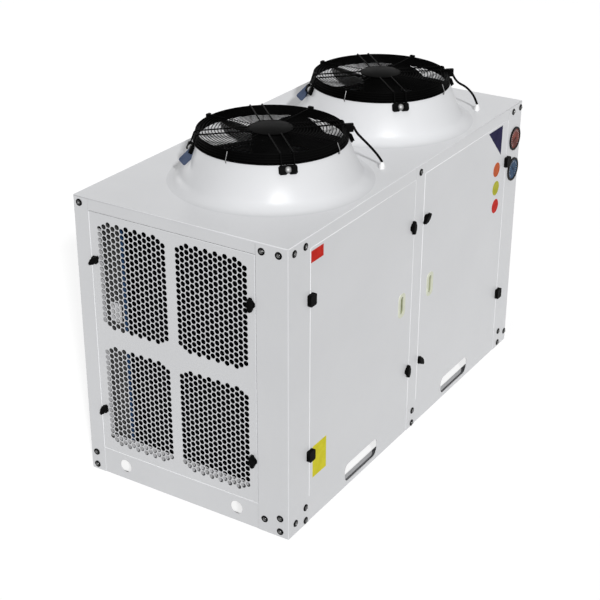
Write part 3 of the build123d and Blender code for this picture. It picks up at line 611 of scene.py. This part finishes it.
def fan_guard(side):
    centre = fans[side]
    wires = Shape()
    ring_z = guard_top - 2 * STRUT_R - SIDE_WIRE
    for index in range(SIDE_RINGS):
        share = index / (SIDE_RINGS - 1)
        radius = COWL_TOP_R + (GUARD_TOP_R - COWL_TOP_R) * share
        height = cowl_top + SIDE_WIRE + (ring_z - cowl_top - SIDE_WIRE) * share
        wires.ring(centre + Z_AXIS * height, radius, SIDE_WIRE)
    radius = GUARD_TOP_R - RING_PITCH
    while radius > GUARD_DISC_R:
        wires.ring(centre + Z_AXIS * ring_z, radius, RING_WIRE)
        radius -= RING_PITCH
    strut_z = guard_top - STRUT_R
    lug_r = COWL_TOP_R + LUG_DROP / tan(COWL_SLOPE)
    lug_z = cowl_top - LUG_DROP
    lug_out = 0.3 * MM + LUG_SHEET / 2
    leg_r = lug_r + lug_out * sin(COWL_SLOPE)
    leg_z = lug_z + lug_out * cos(COWL_SLOPE)
    for turn in map(radians, LUG_TURNS):
        for aside in (-STRUT_SPREAD / 2, STRUT_SPREAD / 2):
            path = [
                around(centre, turn, GUARD_DISC_R - 12 * MM, strut_z, aside),
                around(centre, turn, GUARD_TOP_R - 4 * MM, strut_z, aside),
                around(centre, turn, GUARD_TOP_R + 3 * MM, strut_z - 2 * MM, aside),
                around(centre, turn, GUARD_TOP_R + 6 * MM, strut_z - 7 * MM, aside),
                around(centre, turn, COWL_TOP_R + 2 * STRUT_R, cowl_top + 6 * MM, aside),
                around(centre, turn, leg_r + STRUT_R, leg_z + 8 * MM, aside),
                around(centre, turn, leg_r + LUG_SHEET, leg_z - 2 * MM, aside),
            ]
            wires.tube(path, STRUT_R, sides=8)
    for turn in map(radians, SINGLE_TURNS):
        single_z = ring_z + RING_WIRE + SINGLE_WIRE
        path = [
            around(centre, turn, GUARD_DISC_R - 6 * MM, single_z),
            around(centre, turn, GUARD_TOP_R - 2 * MM, single_z),
            around(centre, turn, GUARD_TOP_R + 4 * MM, single_z - 2 * MM),
            around(centre, turn, GUARD_TOP_R + 7 * MM, single_z - 8 * MM),
            around(centre, turn, COWL_TOP_R + SIDE_WIRE + 2 * SINGLE_WIRE, cowl_top + 8 * MM),
            around(centre, turn, COWL_TOP_R + SIDE_WIRE + 2 * SINGLE_WIRE, cowl_top - 5 * MM),
        ]
        wires.tube(path, SINGLE_WIRE, sides=6)
    basket = wires.build(f"fan_guard_{side}_wires", [guard_black], smooth=60)
    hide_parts(f"fan_guard_{side}")

    band = Shape()
    band_top = guard_top - 2 * STRUT_R
    profile = [
        (BAND_R - BAND_SHEET, cowl_top + 0.3 * MM),
        (COWL_TOP_R - 2 * MM, cowl_top + 0.3 * MM),
        (COWL_TOP_R - 2 * MM, cowl_top + 2 * MM),
        (BAND_R, cowl_top + 2 * MM),
        (BAND_R, band_top - 1 * MM),
        (BAND_R - 1 * MM, band_top),
        (BAND_R - BAND_SHEET, band_top - 1 * MM),
        (BAND_R - BAND_SHEET, cowl_top + 0.3 * MM),
    ]
    band.lathe(profile, Matrix.Translation(centre), steps=120)
    made = band.build(f"fan_band_{side}_sheet", [fan_black])
    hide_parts(f"fan_band_{side}")

    disc = Shape()
    disc_z = guard_top - 2 * STRUT_R
    profile = [
        (0, disc_z),
        (GUARD_DISC_R - 1 * MM, disc_z),
        (GUARD_DISC_R, disc_z + 1 * MM),
        (GUARD_DISC_R, disc_z + 4 * MM),
        (GUARD_DISC_R - 2 * MM, guard_top - 1 * MM),
        (0, guard_top - 0.5 * MM),
    ]
    disc.lathe(profile, Matrix.Translation(centre), steps=64)
    disc.build(f"fan_guard_{side}_disc", [fan_black])

    lugs = Shape()
    bolts = Shape()
    for turn in map(radians, LUG_TURNS):
        normal = around(Vector(), turn, sin(COWL_SLOPE), cos(COWL_SLOPE))
        seat = facing(around(centre, turn, leg_r, leg_z), normal)
        down = seat @ Matrix.Translation((0, 0, -LUG_SHEET / 2))
        lugs.prism(lug_outline(), LUG_SHEET, down)
        for aside in (-STRUT_SPREAD / 2, STRUT_SPREAD / 2):
            ear = seat @ Matrix.Translation((aside, 0, LUG_SHEET / 2))
            lugs.prism(rounded_rectangle(EAR_WIDTH, LUG_HEIGHT - 4 * MM, 7 * MM), EAR_HEIGHT, ear)
        head = seat @ Matrix.Translation((0, 0, LUG_SHEET / 2))
        bolts.lathe(plain_dome(LUG_BOLT_R, 9 * MM), head, steps=28)
    for turn in map(radians, TIE_TURNS):
        path = [
            around(centre, turn, GUARD_TOP_R + 8 * MM, guard_top - 9 * MM, TIE_ASIDE),
            around(centre, turn, COWL_TOP_R + 9 * MM, cowl_top + 8 * MM, TIE_ASIDE),
            around(centre, turn, COWL_TOP_R + 7 * MM, cowl_top - 6 * MM, TIE_ASIDE),
        ]
        bolts.tube(path, TIE_R, sides=6)
    for turn in map(radians, KNOB_TURNS):
        knob = Matrix.Translation(around(centre, turn, COWL_TOP_R - KNOB_DEPTH / 2, guard_top - KNOB_HEIGHT))
        knob = knob @ Matrix.Rotation(turn, 4, "Z")
        lugs.prism(rounded_rectangle(KNOB_DEPTH, KNOB_WIDTH, 4 * MM), KNOB_HEIGHT, knob)
    clip_seat = around(centre, radians(CLIP_TURN), GUARD_TOP_R + CLIP_REACH / 2, guard_top, -CLIP_ASIDE)
    clip_place = Matrix.Translation(clip_seat) @ Matrix.Rotation(radians(CLIP_TURN), 4, "Z")
    clip_place = clip_place @ Matrix.Translation((0, 0, -CLIP_HEIGHT))
    lugs.prism(rounded_rectangle(CLIP_REACH + 2 * STRUT_R, CLIP_WIDTH, 5 * MM), CLIP_HEIGHT, clip_place)
    made = lugs.build(f"fan_guard_{side}_lugs", [lug_black], bevel=1.2 * MM)
    bolts.build(f"fan_guard_{side}_bolts", [bolt_zinc])


def plain_dome(radius, height):
    """Half section of a low dome, from the foot to the crown."""
    arc = [pi / 2 * step / 7 for step in range(7)]
    return [(radius, 0)] + [(radius * cos(t), 1 * MM + (height - 1 * MM) * sin(t)) for t in arc] + [(0, height)]


def dome_bolt(radius, height):
    """Half section of a flanged dome head, from the rim to the crown."""
    flange = 0.18 * height
    dome_r = 0.8 * radius
    rise = height - flange
    arc = [pi / 2 * step / 6 for step in range(1, 7)]
    dome = [(dome_r * cos(t), flange + rise * sin(t)) for t in arc[:-1]]
    return [(radius, 0), (radius, 0.6 * flange), (0.94 * radius, flange), (dome_r, flange), *dome, (0, height)]


for side in fans:
    fan_guard(side)


# Perforated end panels
def field_holes():
    """Centres (y, z) of the round holes: staggered columns, with the outermost ones a hole short."""
    places = []
    for field_y in FIELD_Y:
        for field_z in FIELD_Z:
            for column in range(FIELD_COLUMNS):
                rows = 19 - column % 2
                if column in (0, FIELD_COLUMNS - 1):
                    rows = 17
                y = field_y + (column - (FIELD_COLUMNS - 1) / 2) * COLUMN_PITCH
                for row in range(rows):
                    places.append((y, field_z + (row - (rows - 1) / 2) * HOLE_PITCH))
    return places


def perforated_sheet(name, outline, holes, thickness):
    curve = bpy.data.curves.new(name, "CURVE")
    curve.dimensions = "2D"
    curve.fill_mode = "BOTH"
    curve.extrude = thickness / 2
    loops = [outline] + [circle(HOLE_R, HOLE_SIDES, place) for place in holes]
    for loop in loops:
        spline = curve.splines.new("POLY")
        spline.points.add(len(loop) - 1)
        for spline_point, (u, v) in zip(spline.points, loop):
            spline_point.co = (u, v, 0, 1)
        spline.use_cyclic_u = True
    shaper = bpy.data.objects.new(name, curve)
    bpy.context.scene.collection.objects.link(shaper)
    bpy.context.view_layer.update()
    evaluated = shaper.evaluated_get(bpy.context.evaluated_depsgraph_get())
    mesh = bpy.data.meshes.new_from_object(evaluated)
    bpy.data.objects.remove(shaper)
    bpy.data.curves.remove(curve)
    return mesh


def end_panel(side, sign):
    low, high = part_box(f"end_panel_{side}")
    sheet = PERFORATED_SHEET
    edge = 2.5 * MM
    outline = [
        (low.y + edge, low.z + edge),
        (high.y - edge, low.z + edge),
        (high.y - edge, high.z - edge),
        (low.y + edge, high.z - edge),
    ]
    mesh = perforated_sheet(f"end_panel_{side}_sheet", outline, field_holes(), sheet)
    face_x = sign * half_length
    place = Matrix(((0, 0, 1, face_x - sign * sheet / 2), (1, 0, 0, 0), (0, 1, 0, 0), (0, 0, 0, 1)))
    mesh.transform(place)
    made = piece(f"end_panel_{side}_sheet", mesh, [cabinet_white], smooth=30)
    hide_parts(f"end_panel_{side}")

    rim = Shape()
    arc = [pi / 2 * step / 5 for step in range(6)]
    profile = [(edge * (1 - sin(t)), edge * (1 - cos(t))) for t in arc]
    profile += [(0, 22 * MM), (sheet, 22 * MM), (sheet, edge), (edge, sheet)]
    for (inset, depth), (next_inset, next_depth) in zip(profile, profile[1:] + profile[:1]):
        loops = []
        for away, back in ((inset, depth), (next_inset, next_depth)):
            x = face_x - sign * back
            loops.append(
                [
                    Vector((x, low.y + away, low.z + away)),
                    Vector((x, high.y - away, low.z + away)),
                    Vector((x, high.y - away, high.z - away)),
                    Vector((x, low.y + away, high.z - away)),
                ]
            )
        faces = [[k, (k + 1) % 4, 4 + (k + 1) % 4, 4 + k] for k in range(4)]
        rim.add(loops[0] + loops[1], faces)
    rim.build(f"end_panel_{side}_rim", [cabinet_white], smooth=50)


def inner_flange(side, sign):
    """Behind the holes: the corner post's flange, a bracket beside it and the drain pan's lip."""
    back = half_length - FLANGE_DEPTH
    made = Shape()
    spans = ((FLANGE_Y, FLANGE_Z), (BRACKET_Y, BRACKET_Z), (PAN_LIP_Y, PAN_LIP_Z))
    for span_y, span_z in spans:
        outline = [(span_y[i], span_z[k]) for i, k in ((0, 0), (1, 0), (1, 1), (0, 1))]
        place = Matrix(((0, 0, -sign, sign * back), (1, 0, 0, 0), (0, 1, 0, 0), (0, 0, 0, 1)))
        made.prism(outline, FLANGE_SHEET, place)
        back -= FLANGE_SHEET
    made.build(f"post_flange_{side}", [inner_zinc], bevel=0.5 * MM)


for side, sign in (("left", -1), ("right", 1)):
    end_panel(side, sign)
    inner_flange(side, sign)


# Rolled fold edges, which catch the light as thin lines; the door and end-panel folds also wear a lighter copy
# of the cabinet paint, a painted highlight
DOOR_FOLD_R = 2.4 * MM
PANEL_FOLD_R = 2.0 * MM
TOP_FOLD_R = 3 * MM
FOLD_PROUD = 1.5 * MM
FOLD_CORNER = 3 * MM
SEAM = 3 * MM


def door_fold(end, sign, y):
    """The folded lip round a door, open at the foot."""
    low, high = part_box(f"door_{end}")
    out, in_y = SEAM / 2, y - sign * (DOOR_FOLD_R - FOLD_PROUD)
    fold = Shape()
    path = [
        (low.x - out, in_y, low.z),
        (low.x - out, in_y, high.z + out),
        (high.x + out, in_y, high.z + out),
        (high.x + out, in_y, low.z),
    ]
    fold.tube(eased(path, FOLD_CORNER), DOOR_FOLD_R, sides=12, across=Y_AXIS)
    fold.build(f"door_fold_{end}", [fold_painted_highlight], smooth=60)


def panel_fold(side, sign):
    low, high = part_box(f"end_panel_{side}")
    x = sign * (half_length - PANEL_FOLD_R + FOLD_PROUD)
    out = SEAM / 2
    fold = Shape()
    path = [(x, high.y + out, high.z), (x, high.y + out, low.z - out), (x, low.y, low.z - out)]
    fold.tube(eased(path, FOLD_CORNER), PANEL_FOLD_R, sides=12, across=X_AXIS)
    fold.build(f"end_panel_fold_{side}", [fold_painted_highlight], smooth=60)


def top_fold():
    inset = TOP_FOLD_R - FOLD_PROUD / 2
    x, y, z = half_length - inset, half_width - inset, top_z - inset
    fold = Shape()
    path = eased([(-x, -y, z), (x, -y, z), (x, y, z), (-x, y, z)], FOLD_CORNER, closed=True)
    fold.tube(path, TOP_FOLD_R, sides=16, closed=True)
    fold.build("top_panel_fold", [cabinet_white], smooth=60)


for end, sign in (("front_left", -1), ("front_right", -1), ("back_left", 1), ("back_right", 1)):
    door_fold(end, sign, sign * half_width)
panel_fold("left", -1)
panel_fold("right", 1)
top_fold()


# Bolts: chromed domes on black rings, at the posts' tops and feet
SIDE_BOLTS = [
    (-959, 1204), (-884, 1204), (3, 1203), (907, 1206), (984, 1206),
    (-949, 48), (-876, 79), (-875, 18), (14, 77), (13, 15), (911, 80), (911, 19), (983, 51),
]
END_BOLTS = [
    (462, 1208), (-377, 1202), (-450, 1203),
    (462, 83), (462, 23), (-380, 58), (-452, 85), (-452, 25),
]


BOLT_WASHER = [
    (6 * MM, 0),
    (14.5 * MM, 0),
    (14.5 * MM, 2 * MM),
    (12.5 * MM, 3 * MM),
    (6 * MM, 3 * MM),
]


def cabinet_bolts(name, seats):
    rings = Shape()
    for seat in seats:
        rings.lathe(BOLT_WASHER, seat, 24)
        rings.lathe(dome_bolt(8 * MM, 7 * MM), seat @ Matrix.Translation((0, 0, 2.4 * MM)), 20, 1)
    rings.build(name, [bolt_ring_black, bolt_chrome])


for name, sign in (("front", -1), ("back", 1)):
    seats = [facing((x * MM, sign * half_width, z * MM), (0, sign, 0)) for x, z in SIDE_BOLTS]
    cabinet_bolts(f"bolts_{name}", seats)
for name, sign in (("left", -1), ("right", 1)):
    seats = [facing((sign * half_length, y * MM, z * MM), (sign, 0, 0)) for y, z in END_BOLTS]
    cabinet_bolts(f"bolts_{name}", seats)


# Gauge faces: a dial behind glass with marks and a needle
GAUGE_FACE_R = 45.5 * MM
GAUGE_DIAL_Y = -half_width - 3.4 * MM
gauge_low, gauge_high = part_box("pressure_gauges")
gauge_x = (gauge_low.x + gauge_high.x) / 2
GAUGES = (
    ("upper", gauge_high.z - 55 * MM, gauge_red, 205),
    ("lower", gauge_low.z + 55 * MM, gauge_blue, 130),
)
MARKS = 19
MARK_SWEEP = 270


def gauge(name, centre_z, dial_material, reading):
    seat = facing((gauge_x, GAUGE_DIAL_Y, centre_z), (0, -1, 0))
    dial = Shape()
    dial.lathe([(0, 0), (GAUGE_FACE_R, 0), (GAUGE_FACE_R, 0.6 * MM), (0, 0.9 * MM)], seat, steps=48)
    dial.build(f"gauge_{name}_dial", [dial_material])
    marks = Shape()
    for index in range(MARKS):
        turn = radians(225 - MARK_SWEEP * index / (MARKS - 1))
        length = 8 * MM if index % 3 == 0 else 5 * MM
        place = seat @ Matrix.Rotation(turn, 4, "Z") @ Matrix.Translation((37 * MM, 0, 0.8 * MM))
        marks.prism(rounded_rectangle(length, 1.4 * MM, 0.5 * MM, 1), 0.3 * MM, place)
    turn = radians(reading)
    place = seat @ Matrix.Rotation(turn, 4, "Z") @ Matrix.Translation((0, 0, 1.3 * MM))
    needle = [(-9 * MM, -1.6 * MM), (34 * MM, -0.5 * MM), (34 * MM, 0.5 * MM), (-9 * MM, 1.6 * MM)]
    marks.prism(needle, 0.4 * MM, place, 1)
    marks.lathe([(0, 0), (4 * MM, 0), (3.4 * MM, 1.4 * MM), (0, 1.6 * MM)], place, 16, 1)
    marks.build(f"gauge_{name}_needle", [gauge_marks, gauge_rim])


for gauge_spec in GAUGES:
    gauge(*gauge_spec)


# Plain plates in the labels' places on the service side, with nothing on them (mm)
PLATE = 0.5 * MM


def door_plate(name, material, corners=None, disc=None):
    made = Shape()
    if disc:
        x, z, radius = (value * MM for value in disc)
        outline = circle(radius, 40)
    else:
        x, z = corners[0][0] * MM, corners[0][1] * MM
        outline = [(u * MM - x, v * MM - z) for u, v in corners]
    made.prism(outline, PLATE, facing((x, -half_width, z), (0, -1, 0)))
    made.build(name, [material])


door_plate("plate_square_red", plate_red, [(-845, 1124), (-759, 1124), (-759, 1171), (-845, 1171)])
door_plate("plate_upright_yellow", plate_yellow, [(-825, 191), (-724, 191), (-724, 333), (-825, 333)])
door_plate("plate_corner_navy", plate_navy, [(795, 1034), (798, 1173), (653, 1173)])
door_plate("plate_round_upper", plate_orange, disc=(760, 972, 34))
door_plate("plate_round_middle", plate_lime, disc=(764, 881, 34))
door_plate("plate_round_lower", plate_red, disc=(769, 791, 34))

# Blank tags hung on a thin loop from each guard's left lug
TAG_WIDTH = 36 * MM
TAG_HEIGHT = 78 * MM
TAG_LEAN = -42
TAG_OUT = 332 * MM
TAG_DROP = 36 * MM
TAG_TURNS = {"left": 140, "right": 129}


def hang_tag(side):
    turn = radians(TAG_TURNS[side])
    middle = around(fans[side], turn, TAG_OUT, cowl_top - TAG_DROP)
    face = facing(middle, (-0.86, -0.3, 0.42)) @ Matrix.Rotation(radians(TAG_LEAN), 4, "Z")
    tag = Shape()
    tag.prism(rounded_rectangle(TAG_WIDTH, TAG_HEIGHT, 7 * MM), 1 * MM, face)
    tag.build(f"hang_tag_{side}_card", [tag_blue])
    loop = Shape()
    knot = around(fans[side], radians(LUG_TURNS[1]), COWL_TOP_R + 16 * MM, cowl_top - 4 * MM)
    hole = face @ Vector((0, TAG_HEIGHT / 2 - 4 * MM, 1 * MM))
    spread = Vector((0, 4 * MM, 0))
    path = [knot, (knot + hole) / 2 + spread, hole, (knot + hole) / 2 - spread]
    loop.tube(path, 0.7 * MM, sides=5, closed=True)
    loop.build(f"hang_tag_{side}_loop", [tag_blue])


for side in fans:
    hang_tag(side)


# Camera, as solved from the cabinet's edges
AZIMUTH = radians(-57.936)
ELEVATION = radians(26.1)
ROLL = radians(0.159)
DISTANCE = 5.914870
TARGET = Vector((-0.2452532, -0.0669254, 0.6169343))
camera_data = bpy.data.cameras.new("camera")
camera_data.sensor_width = 36.0
camera_data.lens = 1389.851 * 36.0 / 600.0
camera = bpy.data.objects.new("camera", camera_data)
bpy.context.scene.collection.objects.link(camera)
back = Vector((sin(AZIMUTH) * cos(ELEVATION), -cos(AZIMUTH) * cos(ELEVATION), sin(ELEVATION)))
right = Vector((cos(AZIMUTH), sin(AZIMUTH), 0))
up = back.cross(right)
rows = Matrix((right * cos(ROLL) + up * sin(ROLL), up * cos(ROLL) - right * sin(ROLL), back))
camera.matrix_world = Matrix.Translation(TARGET + back * DISTANCE) @ rows.transposed().to_4x4()
bpy.context.scene.camera = camera


# Floor, world and lamps
def stage():
    floor_shape = Shape()
    floor_shape.lathe([(0, 0), (60, 0)], Matrix.Translation((0, 0, -0.001)), steps=48)
    mesh = bpy.data.meshes.new("floor")
    mesh.from_pydata([tuple(point) for point in floor_shape.points], [], floor_shape.faces)
    floor = bpy.data.objects.new("floor", mesh)
    bpy.context.scene.collection.objects.link(floor)
    made = Finish("floor_pale")
    made.set(colour=made.between(made.noise(0.8), grey(0.25), grey(0.27)), roughness=0.9, specular=0.1)
    rays = made.node("LightPath").outputs
    seen = made.node("Math", {0: rays["Is Camera Ray"], 1: rays["Is Glossy Ray"]}, operation="MAXIMUM")
    seen = made.node("Math", {0: seen.outputs[0], 1: rays["Is Transmission Ray"]}, operation="MAXIMUM")
    glow = made.node("Emission", {"Color": (1, 1, 1, 1), "Strength": 0.8})
    black = made.node("Emission", {"Color": (0, 0, 0, 1), "Strength": 0.0})
    shown = made.node("MixShader", {0: seen.outputs[0], 1: black.outputs[0], 2: glow.outputs[0]})
    both = made.node("AddShader", {0: made.shader.outputs[0], 1: shown.outputs[0]})
    output = made.tree.nodes["Material Output"]
    made.tree.links.new(both.outputs[0], output.inputs["Surface"])
    mesh.materials.append(made.material)


def world():
    made = bpy.data.worlds.new("studio")
    bpy.context.scene.world = made
    made.use_nodes = True
    tree = made.node_tree
    tree.nodes.clear()
    output = tree.nodes.new("ShaderNodeOutputWorld")
    light = tree.nodes.new("ShaderNodeBackground")
    light.inputs["Color"].default_value = (1.0, 1.0, 1.0, 1.0)
    light.inputs["Strength"].default_value = 0.3
    shown = tree.nodes.new("ShaderNodeBackground")
    shown.inputs["Strength"].default_value = 1.0
    shown.inputs["Color"].default_value = (1.0, 1.0, 1.0, 1.0)
    rays = tree.nodes.new("ShaderNodeLightPath")
    seen = rays.outputs["Is Camera Ray"]
    for other in ("Is Glossy Ray", "Is Transmission Ray"):
        either = tree.nodes.new("ShaderNodeMath")
        either.operation = "MAXIMUM"
        tree.links.new(seen, either.inputs[0])
        tree.links.new(rays.outputs[other], either.inputs[1])
        seen = either.outputs[0]
    mix = tree.nodes.new("ShaderNodeMixShader")
    tree.links.new(seen, mix.inputs[0])
    tree.links.new(light.outputs[0], mix.inputs[1])
    tree.links.new(shown.outputs[0], mix.inputs[2])
    tree.links.new(mix.outputs[0], output.inputs["Surface"])


def lamp(name, kind, place, aim, power, **settings):
    data = bpy.data.lights.new(name, kind)
    data.energy = power
    for key, value in settings.items():
        setattr(data, key, value)
    made = bpy.data.objects.new(name, data)
    bpy.context.scene.collection.objects.link(made)
    made.location = place
    made.rotation_euler = (Vector(aim) - Vector(place)).to_track_quat("-Z", "Y").to_euler()


stage()
world()
lamp("key_sun", "SUN", (-5.0, -4.83, 3.54), (0, 0, 0), 2.9, angle=radians(3))
lamp("overhead", "AREA", (0.3, 0.2, 5.0), (0, 0, 1.2), 20, shape="DISK", size=3.0)
lamp("back_fill", "AREA", (0.8, 6.6, 2.4), (0, 0, 0.6), 50, shape="DISK", size=2.5)
bpy.context.scene.view_settings.view_transform = "Standard"
